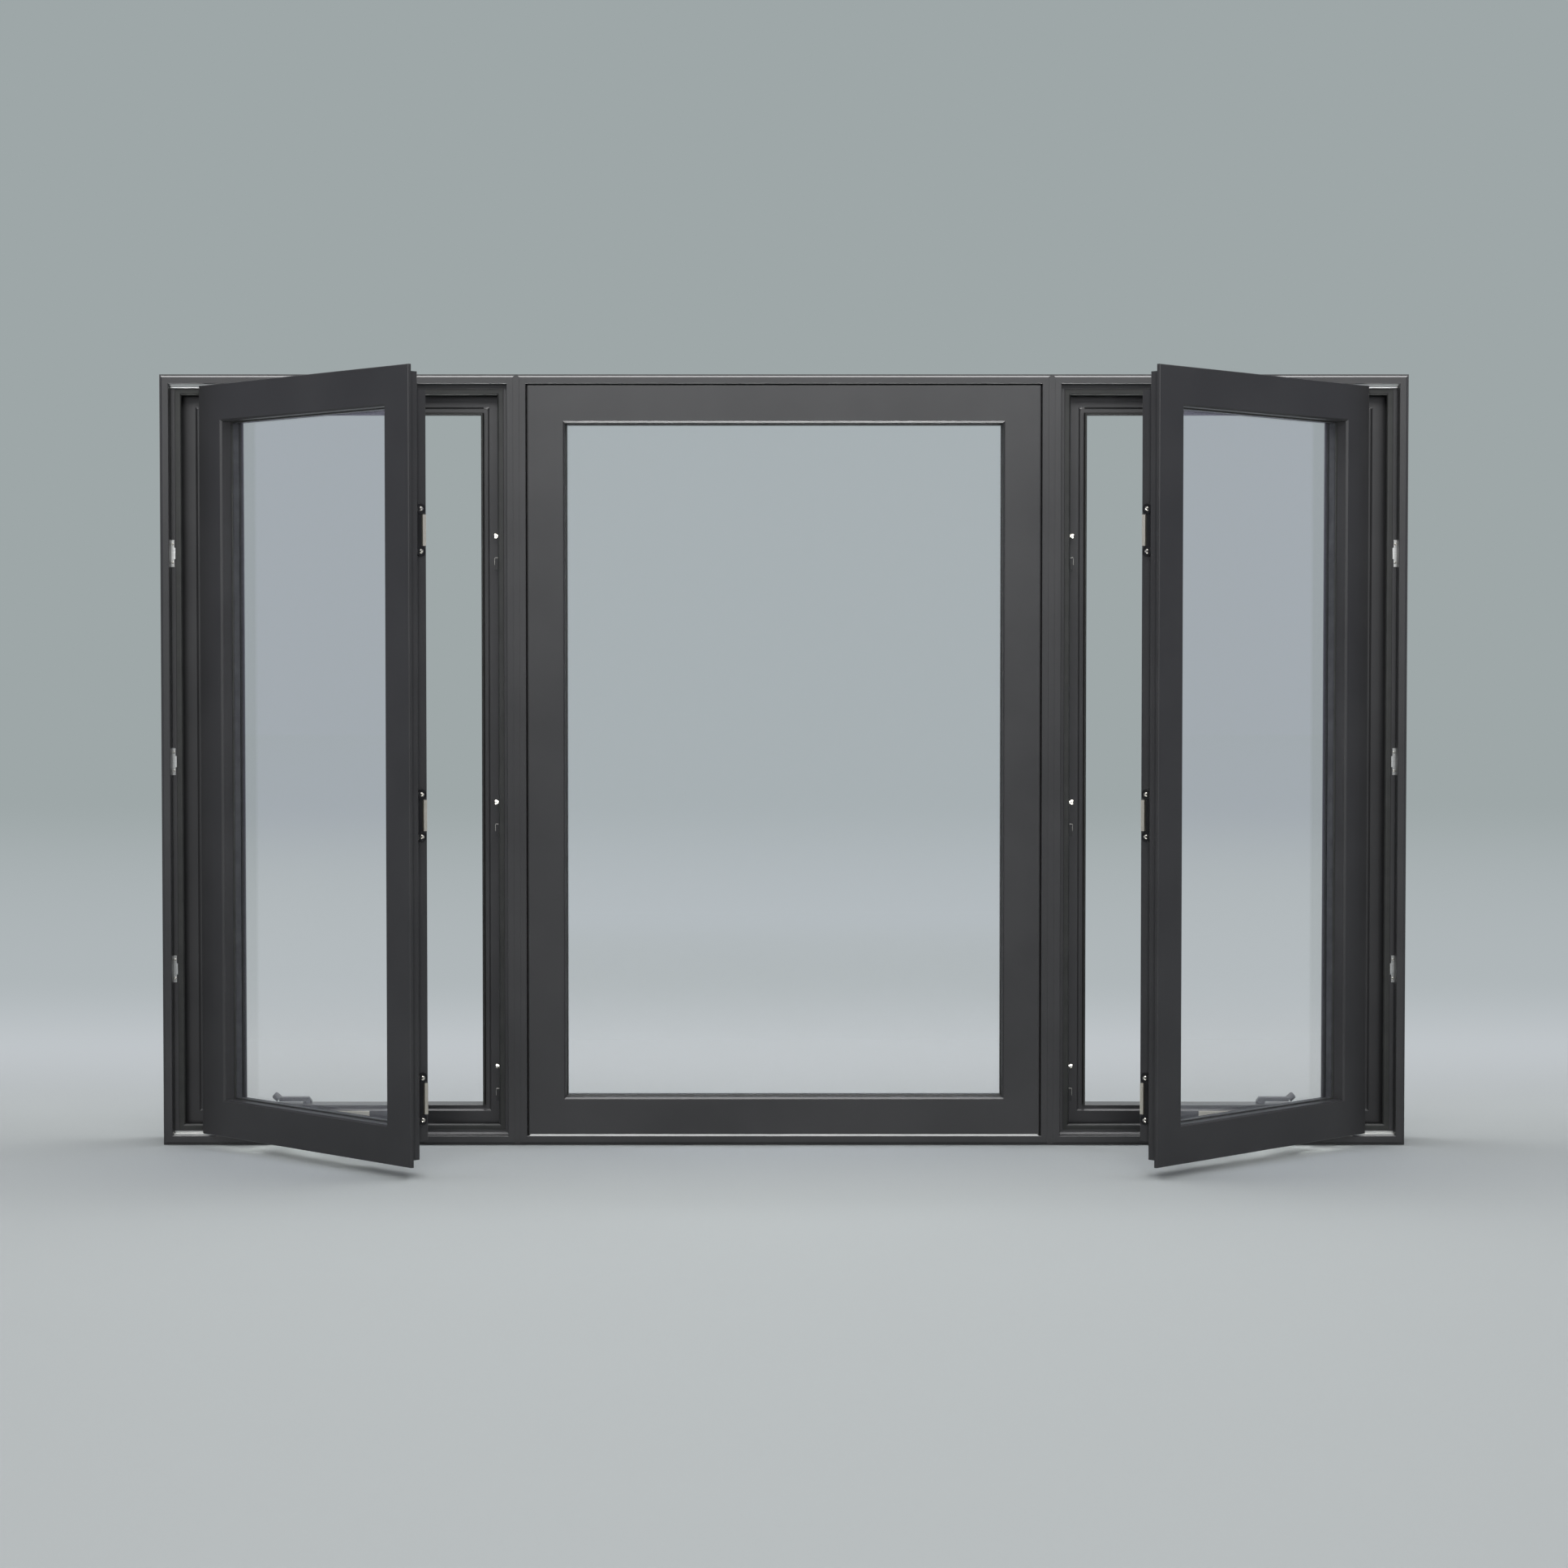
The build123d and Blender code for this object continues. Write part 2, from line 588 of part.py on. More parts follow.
def roller_place():
    """Point on the open sash's track that lies one arm's length from the operator's axis."""
    track_off = SASH_TRACK_Y - PIVOT_Y
    gap_x = OPERATOR_AXIS[0] - OPEN_PIVOT_X - track_off * sin(TURN)
    gap_y = OPERATOR_AXIS[1] - PIVOT_Y - track_off * cos(TURN)
    along = gap_x * cos(TURN) - gap_y * sin(TURN)
    aside = gap_x * sin(TURN) + gap_y * cos(TURN)
    reach = along + sqrt(OPERATOR_ARM_LENGTH ** 2 - aside ** 2)
    x = OPEN_PIVOT_X + track_off * sin(TURN) + reach * cos(TURN)
    return x, PIVOT_Y + track_off * cos(TURN) - reach * sin(TURN)


def operator_arm():
    """Arm on the operator's shelf whose roller runs in the track under the sash."""
    end = roller_place()
    arm = link(OPERATOR_AXIS, end, OPERATOR_ARM_WIDE, OPERATOR_ARM_LOW, OPERATOR_ARM_THICK)
    roller = SASH_TRACK_WIDE - 2 * (SASH_TRACK_WALL + ROLLER_GAP)
    roller_top = SASH_RAIL_LOW - SASH_TRACK_WALL - ROLLER_GAP
    arm += rod(OPERATOR_AXIS, OPERATOR_ARM_TOP, OPERATOR_ARM_TOP + SOFT_EDGE, OPERATOR_PIN)
    return arm + rod(end, OPERATOR_ARM_TOP, roller_top, roller)


def sash_track():
    """Channel under the bottom rail in which the operator arm's roller runs."""
    start = OUTER_X + SASH_IN + SASH_TRACK_START
    end = start + SASH_TRACK_LONG
    half = SASH_TRACK_WIDE / 2
    groove = half - SASH_TRACK_WALL
    low = SASH_RAIL_LOW - SASH_TRACK_HIGH
    roof = SASH_RAIL_LOW - SASH_TRACK_WALL
    channel = block(start, end, SASH_TRACK_Y - half, SASH_TRACK_Y + half, low, SASH_RAIL_LOW)
    return swing(channel - block(start, end, SASH_TRACK_Y - groove, SASH_TRACK_Y + groove, low, roof))


def crank():
    """Folding crank handle on the room side of the sill, with its knob turned up."""
    hub_x = OUTER_X + CRANK_FROM_SIDE
    y = FRONT_Y + CRANK_DEEP
    bar_low = OPENING_IN + CRANK_HUB_HIGH
    hub = rod((hub_x, y), OPENING_IN, bar_low, CRANK_HUB)
    tip_x = hub_x - CRANK_LENGTH
    wide = CRANK_BAR_WIDE / 2
    slim = CRANK_TIP_WIDE / 2
    nose = hub_x + CRANK_HUB / 2
    plan = Polyline((nose, y - wide), (nose, y + wide), (tip_x, y + slim), (tip_x, y - slim), close=True)
    bar = Pos(0, 0, bar_low) * extrude(make_face(plan), CRANK_BAR_HIGH)
    bar_top = bar_low + CRANK_BAR_HIGH
    slant = Polyline((nose, bar_low), (nose, bar_top), (nose - CRANK_NOSE_SLANT, bar_top), close=True)
    bar -= Pos(0, y, 0) * extrude(Plane.XZ * make_face(slant), CRANK_BAR_WIDE, both=True)
    bar = chamfer(bar.edges().group_by(Axis.Z)[-1].filter_by(Axis.X, tolerance=5), CRANK_BAR_EDGE)
    knob = Cylinder(CRANK_KNOB / 2, CRANK_KNOB_LONG, align=(Align.CENTER, Align.CENTER, Align.MIN))
    knob = chamfer(knob.edges().group_by(Axis.Z)[-1], CRANK_KNOB_EDGE)
    knob = Pos(tip_x, y, bar_low + CRANK_BAR_HIGH / 2) * Rot(0, -CRANK_KNOB_TILT, 0) * knob
    return hub + bar + knob


def lock_lever():
    """Lever on the room face of the lock jamb that slides the lock bar."""
    x = -SEAM_X - LEVER_FROM_EDGE
    back = DEPTH / 2
    front = back + LEVER_PLATE_THICK
    half_wide = LEVER_PLATE_WIDE / 2
    low = LEVER_HEIGHT - LEVER_PLATE_LONG / 2
    plate = block(x - half_wide, x + half_wide, back, front, low, low + LEVER_PLATE_LONG)
    plate = chamfer(plate.edges().filter_by(Axis.Y), half_wide / 2)
    hub = Cylinder(LEVER_HUB / 2, LEVER_STAND_OFF, align=(Align.CENTER, Align.CENTER, Align.MIN))
    hub = Pos(x, front, LEVER_HEIGHT) * Rot(-90, 0, 0) * hub
    grip = SlotCenterToCenter(LEVER_LONG - LEVER_WIDE, LEVER_WIDE)
    grip = extrude(Plane.XZ * Rot(0, 0, 90) * grip, -LEVER_THICK)
    reach = LEVER_LONG / 2 - LEVER_WIDE / 2
    return plate + hub + Pos(x, front + LEVER_STAND_OFF, LEVER_HEIGHT - reach) * grip


# Frame of each unit
names = ("sill", "head", "hinge_jamb", "lock_jamb")
for name, bar in zip(names, unit_frame(SIDE_WIDTH, SIDE_X)):
    save("left_" + name, bar)
    save("right_" + name, across(bar))
names = ("sill", "head", "left_jamb", "right_jamb")
for name, bar in zip(names, unit_frame(CENTRE_WIDTH, 0)):
    save("centre_" + name, bar)
save("mull_strips", mull_strip(-SEAM_X), mull_strip(SEAM_X))

# Weatherstrips
side_seals = (outer_seal(SIDE_WIDTH, SIDE_X), inner_seal(SIDE_WIDTH, SIDE_X, INNER_SEAL_GAP))
save("left_weatherstrips", *side_seals)
save("right_weatherstrips", *[across(seal) for seal in side_seals])
save("centre_weatherstrip", inner_seal(CENTRE_WIDTH, 0, 0))

# Sashes
names = ("bottom_rail", "top_rail", "hinge_stile", "lock_stile")
for name, bar in zip(names, sash_members(SIDE_SASH_WIDTH, SIDE_X)):
    save("left_" + name, swing(bar))
    save("right_" + name, across(swing(bar)))
names = ("bottom_rail", "top_rail", "left_stile", "right_stile")
for name, bar in zip(names, sash_members(CENTRE_SASH_WIDTH, 0)):
    save("centre_" + name, bar)

# Glass
side_pieces = [swing(piece) for piece in glass_unit(SIDE_SASH_WIDTH, SIDE_X)]
outer_pane, inner_pane, side_spacer, side_bead = side_pieces
save("left_glass", outer_pane, inner_pane)
save("right_glass", across(outer_pane), across(inner_pane))
save("left_glazing_bead", side_bead)
save("right_glazing_bead", across(side_bead))
outer_pane, inner_pane, centre_spacer, centre_bead = glass_unit(CENTRE_SASH_WIDTH, 0)
save("centre_glass", outer_pane, inner_pane)
save("centre_glazing_bead", centre_bead)
save("glass_spacers", *on_both_sides(side_spacer), centre_spacer)

# Hinges, at sill and head
save("hinge_tracks", *on_both_sides(hinge_track(), flip(hinge_track())))
save("hinge_shoes", *on_both_sides(hinge_shoe(), flip(hinge_shoe())))
save("hinge_arms", *on_both_sides(hinge_arm(), flip(hinge_arm())))
save("hinge_sash_plates", *on_both_sides(hinge_sash_plate(), flip(hinge_sash_plate())))

# Locks and snubbers
save("jamb_snubbers", *on_both_sides(*[snubber(height) for height in SNUBBER_HEIGHTS]))
save("left_lock_bar", lock_bar())
save("right_lock_bar", across(lock_bar()))
save("lock_guides", *on_both_sides(*[lock_guide(height) for height in STUD_HEIGHTS]))
save("sash_keepers", *on_both_sides(*[keeper(height) for height in STUD_HEIGHTS]))
save("keeper_strikes", *on_both_sides(*[keeper_strike(height) for height in STUD_HEIGHTS]))
save("lock_levers", *on_both_sides(lock_lever()))

# Operators
save("operators", *on_both_sides(operator()))
save("operator_arms", *on_both_sides(operator_arm()))
save("operator_sash_tracks", *on_both_sides(sash_track()))
save("left_crank_handle", crank())
save("right_crank_handle", across(crank()))
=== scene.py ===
# %% [markdown]
# A triple casement window, finished for a studio picture.
# The imported solids already hold the shape of every bar, pane and hinge, at real size and in
# metres. This lesson loads them as a fixed frame, gives each one the finish of its real
# material, and adds what is too fine for the solids: screws, clips, gaskets, and a light grey
# strip under the fixed sash that paints a highlight.

# %% Load the window as a fixed frame
import json
from math import cos, pi, radians, sin

import bmesh
import bpy
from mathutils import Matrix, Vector


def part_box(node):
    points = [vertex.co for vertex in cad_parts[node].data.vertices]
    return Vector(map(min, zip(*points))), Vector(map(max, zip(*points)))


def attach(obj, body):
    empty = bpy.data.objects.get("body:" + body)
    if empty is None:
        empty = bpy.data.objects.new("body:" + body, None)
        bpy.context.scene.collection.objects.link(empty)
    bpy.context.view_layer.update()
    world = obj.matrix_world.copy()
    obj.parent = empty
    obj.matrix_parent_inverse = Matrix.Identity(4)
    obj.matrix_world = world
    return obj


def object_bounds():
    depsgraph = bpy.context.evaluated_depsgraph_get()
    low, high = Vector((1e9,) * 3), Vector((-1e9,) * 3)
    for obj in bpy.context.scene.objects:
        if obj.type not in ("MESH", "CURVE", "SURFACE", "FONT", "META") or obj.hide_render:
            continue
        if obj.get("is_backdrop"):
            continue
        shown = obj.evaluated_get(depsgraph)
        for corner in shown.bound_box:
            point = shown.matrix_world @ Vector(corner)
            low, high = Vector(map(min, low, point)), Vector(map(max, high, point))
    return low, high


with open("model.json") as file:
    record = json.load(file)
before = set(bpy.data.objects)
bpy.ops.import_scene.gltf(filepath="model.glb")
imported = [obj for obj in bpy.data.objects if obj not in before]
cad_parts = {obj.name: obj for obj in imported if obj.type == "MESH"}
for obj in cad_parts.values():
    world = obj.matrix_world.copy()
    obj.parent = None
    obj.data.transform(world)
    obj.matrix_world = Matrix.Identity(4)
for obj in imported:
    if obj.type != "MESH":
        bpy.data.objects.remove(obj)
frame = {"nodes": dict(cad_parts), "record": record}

cad_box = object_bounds()
nodes = frame["nodes"]
MM = 0.001
print("window of", len(nodes), "pieces,", [round(high - low, 4) for low, high in zip(*cad_box)], "m")

# %% [markdown]
# Colours are given in sRGB, the way a paint card shows them, but the shader works in
# linear light. One small function turns the hex value of a card into the linear colour, so
# that every finish below can be written the way a maker would name it. The Standard view
# then shows each colour as its card does.

# %% Colours and nodes
scene = bpy.context.scene
scene.view_settings.view_transform = "Standard"


def colour(card, alpha=1.0):
    """The linear colour of an sRGB hex value such as 3c3d40."""
    parts = [int(card[start:start + 2], 16) / 255 for start in (0, 2, 4)]
    linear = [part / 12.92 if part <= 0.04045 else ((part + 0.055) / 1.055) ** 2.4 for part in parts]
    return (*linear, alpha)


def add(tree, kind, sockets=None, **settings):
    """A node of one kind with its settings. Each socket takes a value or another node's output."""
    node = tree.nodes.new(kind)
    for name, value in settings.items():
        setattr(node, name, value)
    for name, value in (sockets or {}).items():
        if isinstance(value, bpy.types.NodeSocket):
            tree.links.new(value, node.inputs[name])
        else:
            node.inputs[name].default_value = value
    return node


def finish(name):
    """An empty material with its node tree and its output node."""
    material = bpy.data.materials.new(name)
    material.use_nodes = True
    material.node_tree.nodes.clear()
    return material, material.node_tree, add(material.node_tree, "ShaderNodeOutputMaterial")


print("middle grey card 808080 is", [round(part, 4) for part in colour("808080")[:3]])

# %% [markdown]
# The camera stands where the photo was taken: in front of the window, a little above the
# middle of its height, and tilted slightly down. The lens follows from how much smaller the
# sill looks than the head, and from how much larger the open sashes look than the frame.
# Distances are in metres, the tilt in degrees, lens and sensor in millimetres.

# %% Camera
CAMERA_AWAY = 5.645
CAMERA_HEIGHT = 0.8064
CAMERA_TILT = 1.878
LENS = 75.75
SENSOR = 36.0
front_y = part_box("centre_sill")[0].y
camera_data = bpy.data.cameras.new("studio_camera")
camera_data.lens = LENS
camera_data.sensor_width = SENSOR
camera = bpy.data.objects.new("studio_camera", camera_data)
camera.location = (0.0, front_y - CAMERA_AWAY, CAMERA_HEIGHT)
camera.rotation_euler = (radians(90.0 - CAMERA_TILT), 0.0, 0.0)
scene.collection.objects.link(camera)
scene.camera = camera
print("camera at", [round(value, 3) for value in camera.location], "with a lens of", LENS, "mm")

# %% [markdown]
# The window stands on a pale studio floor that runs back and fades into a grey green backdrop.
# The floor is a plain diffuse surface near the window, so it keeps the shadow. Further off it
# glows, which is painted light: just behind the window the glow is as bright as a lit floor,
# then it dims and takes the colour of what stands there: the backdrop behind, the studio at
# the sides and in front. So no hard edge shows behind the window or in the panes. Each
# pair of distances says, in metres from the window, where a change starts and ends.

# %% Floor finish
BACKDROP = "9ea7a8"
STUDIO_SIDE = "b2b4c8"
STUDIO_FRONT = "d9dfe6"
FLOOR = "c1c6c7"
# Painted light: the floor's glow just behind the window, as bright as a lit floor, dimming further back
LIT_FLOOR_GLOW = "c3c8cc"
FLOOR_FAR = "b1b8bb"
BEHIND_TO_FAR = (0.8, 3.2)
FAR_TO_SIDE = (6.0, 16.0)
FAR_TO_BACKDROP = (0.5, 16.0)
FAR_TO_FRONT = (-3.0, -5.5)
GLOW_BEHIND = (0.1, 1.6)
GLOW_ASIDE = (2.0, 4.0)


def fade(tree, along, ends, first, second):
    """A colour that goes over softly into another while a value goes from one end to the other."""
    step = add(tree, "ShaderNodeMapRange", {"Value": along, "From Min": ends[0], "From Max": ends[1]},
               interpolation_type="SMOOTHSTEP")
    # A Mix node has its colours in sockets 6 and 7, and its mixed colour in output 2
    mix = add(tree, "ShaderNodeMix", {"Factor": step.outputs["Result"], 6: first, 7: second},
              data_type="RGBA")
    return mix.outputs[2]


def seen_rays(tree):
    """1 for rays that show a surface: from the camera, off a mirror or through glass."""
    path = add(tree, "ShaderNodeLightPath")
    seen = path.outputs["Is Camera Ray"]
    for kind in ("Is Glossy Ray", "Is Transmission Ray"):
        both = add(tree, "ShaderNodeMath", {0: seen, 1: path.outputs[kind]}, operation="MAXIMUM")
        seen = both.outputs[0]
    return seen


floor_finish, tree, output = finish("studio_floor")
place = add(tree, "ShaderNodeTexCoord")
split = add(tree, "ShaderNodeSeparateXYZ", {"Vector": place.outputs["Object"]})
back = split.outputs["Y"]
aside = add(tree, "ShaderNodeMath", {0: split.outputs["X"]}, operation="ABSOLUTE").outputs[0]
far = fade(tree, back, BEHIND_TO_FAR, colour(LIT_FLOOR_GLOW), colour(FLOOR_FAR))
far = fade(tree, aside, FAR_TO_SIDE, far, colour(STUDIO_SIDE))
far = fade(tree, back, FAR_TO_BACKDROP, far, colour(BACKDROP))
far = fade(tree, back, FAR_TO_FRONT, far, colour(STUDIO_FRONT))
edge = 0.0
for along, ends in ((back, GLOW_BEHIND), (back, FAR_TO_FRONT), (aside, GLOW_ASIDE)):
    step = add(tree, "ShaderNodeMapRange", {"Value": along, "From Min": ends[0], "From Max": ends[1]},
               interpolation_type="SMOOTHSTEP")
    edge = add(tree, "ShaderNodeMath", {0: edge, 1: step.outputs["Result"]}, operation="MAXIMUM").outputs[0]
share = add(tree, "ShaderNodeMath", {0: seen_rays(tree), 1: edge}, operation="MULTIPLY")
paint = add(tree, "ShaderNodeBsdfDiffuse", {"Color": colour(FLOOR)})
glow = add(tree, "ShaderNodeEmission", {"Color": far})
mix = add(tree, "ShaderNodeMixShader", {0: share.outputs[0], 1: paint.outputs[0], 2: glow.outputs[0]})
tree.links.new(mix.outputs[0], output.inputs["Surface"])
print("made", floor_finish.name, "with", len(tree.nodes), "nodes")

# %% [markdown]
# The floor itself is one flat square at the foot of the window. It is far wider than the
# picture, because the panes also mirror what lies beside and behind the camera.

# %% Floor
FLOOR_SIZE = 80.0
floor_mesh = bpy.data.meshes.new("studio_floor")
half = FLOOR_SIZE / 2
corners = [(-half, -half, 0), (half, -half, 0), (half, half, 0), (-half, half, 0)]
floor_mesh.from_pydata(corners, [], [(0, 1, 2, 3)])
floor_mesh.materials.append(floor_finish)
floor = bpy.data.objects.new("studio_floor", floor_mesh)
scene.collection.objects.link(floor)
floor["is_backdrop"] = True
print("floor of", FLOOR_SIZE, "m")

# %% [markdown]
# Behind the window the studio is grey green, at its sides it is a cool lavender and in front
# it is a pale grey. The camera sees the first, the turned panes mirror the second and the
# middle pane mirrors the third. What the studio adds as light is weaker and has hardly any
# hue. A direction runs from 1, straight back, over 0, straight aside, to -1, straight in front.

# %% Studio around the window
WORLD_LIGHT = 0.20
WORLD_HUE = "f6f8fb"
BACK_TO_SIDE = (0.75, 0.15)
SIDE_TO_FRONT = (-0.25, -0.9)
world = bpy.data.worlds.new("studio")
scene.world = world
world.use_nodes = True
tree = world.node_tree
tree.nodes.clear()
place = add(tree, "ShaderNodeTexCoord")
split = add(tree, "ShaderNodeSeparateXYZ", {"Vector": place.outputs["Generated"]})
back = split.outputs["Y"]
walls = fade(tree, back, BACK_TO_SIDE, colour(BACKDROP), colour(STUDIO_SIDE))
walls = fade(tree, back, SIDE_TO_FRONT, walls, colour(STUDIO_FRONT))
shown = add(tree, "ShaderNodeBackground", {"Color": walls, "Strength": 1.0})
light = add(tree, "ShaderNodeBackground", {"Color": colour(WORLD_HUE), "Strength": WORLD_LIGHT})
mix = add(tree, "ShaderNodeMixShader", {0: seen_rays(tree), 1: light.outputs[0], 2: shown.outputs[0]})
add(tree, "ShaderNodeOutputWorld", {"Surface": mix.outputs[0]})
print("backdrop", BACKDROP, "sides", STUDIO_SIDE, "front", STUDIO_FRONT)

# %% [markdown]
# Dark satin bars are drawn by what they mirror, so the lamps are large and soft. A box high
# over the camera lights the fronts, and the upper bars mirror more of it than the lower ones.
# A box overhead and one behind pick out every ledge and bevel that faces up, and a narrow one
# at the foot of the window those that face down. The boxes named sheen show in reflections
# alone, which gives the satin its lines of light and leaves the floor plain.
# A wide level sun fills the recesses. Nothing stands at the sides, which is why the turned
# sashes look darker than the frame. Places and sizes are in metres.

# %% Lamps
MIDDLE = (0.0, 0.0, 0.66)
FILL_LIGHT = 4.2
FILL_WIDTH = 14.0


def softbox(name, place, target, size, watts, matt=True, spread=180.0):
    """A rectangular lamp that faces its target, for reflections and, if matt, for matt surfaces."""
    lamp = bpy.data.lights.new(name, "AREA")
    lamp.shape = "RECTANGLE"
    lamp.size, lamp.size_y = size
    lamp.energy = watts
    lamp.spread = radians(spread)
    holder = bpy.data.objects.new(name, lamp)
    holder.location = place
    holder.rotation_euler = (Vector(target) - Vector(place)).to_track_quat("-Z", "Y").to_euler()
    holder.visible_camera = False
    holder.visible_transmission = False
    holder.visible_diffuse = matt
    scene.collection.objects.link(holder)


softbox("front_softbox", place=(0.0, -5.2, 3.4), target=MIDDLE, size=(4.5, 1.6), watts=110.0)
softbox("front_sheen", place=(0.0, -5.2, 3.2), target=MIDDLE, size=(6.5, 1.6), watts=410.0, matt=False)
softbox("top_softbox", place=(0.0, 0.4, 4.2), target=MIDDLE, size=(4.0, 2.4), watts=130.0)
softbox("top_sheen", place=(0.0, -0.6, 4.0), target=MIDDLE, size=(5.0, 3.0), watts=800.0, matt=False)
softbox("back_sheen", place=(0.0, 5.0, 2.6), target=MIDDLE, size=(6.0, 2.4), watts=60.0, matt=False)
softbox("under_sheen", place=(0.0, -0.3, 0.01), target=(0.0, -0.3, 1.0), size=(2.4, 0.5), watts=16.0,
        matt=False, spread=40.0)
fill = bpy.data.lights.new("front_fill", "SUN")
fill.energy = FILL_LIGHT
fill.angle = radians(FILL_WIDTH)
holder = bpy.data.objects.new("front_fill", fill)
holder.rotation_euler = (radians(90.0), 0.0, 0.0)
holder.visible_camera = False
holder.visible_glossy = False
holder.visible_transmission = False
scene.collection.objects.link(holder)

# %% [markdown]
# The bars are extruded and capped with a satin charcoal acrylic skin. Such a skin is matt in
# colour and a little glossy on top, with a faint ripple from the die and very slight unevenness.
# A fine noise in the bump breaks the reflections, and a wide noise shifts the gloss by a few
# hundredths, so that a long bar never looks like flat paint. The ripple is drawn about as
# wide as one pixel of the picture, because a finer one would not show. Sizes are in millimetres.

# %% Charcoal skin of frame and sash
SATIN_IOR = 1.49
SATIN_LEVEL = 0.19
SATIN_GLOSS_SPREAD = 0.04
PATCH_SHARES = (0.35, 0.65)
RIPPLE_HEIGHT = 0.05


def satin_skin(name, card_low, card_high, roughness, ripple_mm, patch_mm, bump):
    """A dyed skin: colour between two cards, gloss that wanders and a fine ripple."""
    material, tree, output = finish(name)
    where = add(tree, "ShaderNodeTexCoord").outputs["Object"]
    patch = add(tree, "ShaderNodeTexNoise", {"Vector": where, "Scale": 1 / (patch_mm * MM), "Detail": 3.0})
    ripple = add(tree, "ShaderNodeTexNoise", {"Vector": where, "Scale": 1 / (ripple_mm * MM), "Detail": 2.0})
    tint = add(tree, "ShaderNodeValToRGB", {"Fac": patch.outputs["Fac"]})
    for element, share, card in zip(tint.color_ramp.elements, PATCH_SHARES, (card_low, card_high)):
        element.position = share
        element.color = colour(card)
    gloss = add(tree, "ShaderNodeMapRange", {
        "Value": patch.outputs["Fac"],
        "To Min": roughness - SATIN_GLOSS_SPREAD,
        "To Max": roughness + SATIN_GLOSS_SPREAD,
    })
    relief = add(tree, "ShaderNodeBump", {
        "Height": ripple.outputs["Fac"],
        "Strength": bump,
        "Distance": RIPPLE_HEIGHT * MM,
    })
    skin = add(tree, "ShaderNodeBsdfPrincipled", {
        "Base Color": tint.outputs["Color"],
        "Roughness": gloss.outputs["Result"],
        "IOR": SATIN_IOR,
        "Specular IOR Level": SATIN_LEVEL,
        "Normal": relief.outputs["Normal"],
    })
    tree.links.new(skin.outputs[0], output.inputs["Surface"])
    return material


charcoal = satin_skin("charcoal_acrylic_skin", "2b2b2c", "2f2f30",
                      roughness=0.38, ripple_mm=1.6, patch_mm=140.0, bump=0.25)
print("made", charcoal.name)

# %% [markdown]
# The weatherstrips are extruded rubber, the guides are moulded nylon and the keepers are
# painted steel. All three are black, and only their gloss tells them apart: rubber is dull,
# nylon has a soft sheen and paint shows a clear highlight along each edge. Cranks and levers
# have a grey powder coat, whose coarse bump scatters the light, and the spacer between two
# panes is dark, so that it hardly shows.

# %% Blacks and greys
rubber = satin_skin("epdm_rubber", "1d1e1d", "232423",
                    roughness=0.52, ripple_mm=0.8, patch_mm=30.0, bump=0.3)
nylon = satin_skin("moulded_black_nylon", "1b1b1c", "202021",
                   roughness=0.45, ripple_mm=0.6, patch_mm=20.0, bump=0.3)
keeper_paint = satin_skin("black_enamel", "0f0f10", "141415",
                          roughness=0.34, ripple_mm=1.0, patch_mm=25.0, bump=0.2)
handle_paint = satin_skin("grey_powder_coat", "4a4b4d", "525355",
                          roughness=0.42, ripple_mm=0.7, patch_mm=20.0, bump=0.5)
spacer_skin = satin_skin("dark_anodised_spacer", "3a3b3d", "444547",
                         roughness=0.40, ripple_mm=0.5, patch_mm=20.0, bump=0.2)
print("made", [thing.name for thing in (rubber, nylon, keeper_paint, handle_paint, spacer_skin)])

# %% [markdown]
# Hinge tracks, arms and snubbers are stamped stainless steel. Rolled strip is brushed along
# its length, so its grain is a noise that is stretched along X. The lock bars are plated with
# zinc, which is brighter and smoother, and their grain runs up along the bar. Cast zinc has
# no direction: its skin is a fine, even grain with a dull shine.

# %% Metals
GRAIN_GLOSS_SPREAD = 0.08
GRAIN_HEIGHT = 0.02
GRAIN_BUMP = 0.25


def bare_metal(name, card_low, card_high, roughness, grain_mm):
    """A bare metal with a grain of its own size along X, Y and Z."""
    material, tree, output = finish(name)
    where = add(tree, "ShaderNodeTexCoord").outputs["Object"]
    scale = [1 / (size * MM) for size in grain_mm]
    stretch = add(tree, "ShaderNodeMapping", {"Vector": where, "Scale": scale})
    noise = add(tree, "ShaderNodeTexNoise", {"Vector": stretch.outputs[0], "Scale": 1.0, "Detail": 3.0})
    grain = noise.outputs["Fac"]
    tint = add(tree, "ShaderNodeMix", {"Factor": grain, 6: colour(card_low), 7: colour(card_high)},
               data_type="RGBA")
    gloss = add(tree, "ShaderNodeMapRange", {
        "Value": grain,
        "To Min": roughness - GRAIN_GLOSS_SPREAD,
        "To Max": roughness + GRAIN_GLOSS_SPREAD,
    })
    relief = add(tree, "ShaderNodeBump", {
        "Height": grain,
        "Strength": GRAIN_BUMP,
        "Distance": GRAIN_HEIGHT * MM,
    })
    metal = add(tree, "ShaderNodeBsdfPrincipled", {
        "Base Color": tint.outputs[2],
        "Metallic": 1.0,
        "Roughness": gloss.outputs["Result"],
        "Normal": relief.outputs["Normal"],
    })
    tree.links.new(metal.outputs[0], output.inputs["Surface"])
    return material


stainless = bare_metal("brushed_stainless_steel", "a9a9a7", "c9c9c6",
                       roughness=0.30, grain_mm=(40.0, 0.6, 0.6))
plated = bare_metal("bright_zinc_plate", "b9b7b0", "d8d5cb",
                    roughness=0.24, grain_mm=(0.8, 0.8, 12.0))
zinc = bare_metal("cast_zinc_alloy", "a5a195", "bdb9ac",
                  roughness=0.42, grain_mm=(0.9, 0.9, 0.9))
print("made", [thing.name for thing in (stainless, plated, zinc)])

# %% [markdown]
# A sealed unit of float glass looks almost colourless from the front. Its coating tints what
# it mirrors a faint lavender. Light has to reach the bars behind it, and a lamp mirrored by a
# pane would throw a bright pool on the floor, so shadow rays and diffuse rays pass straight
# through.

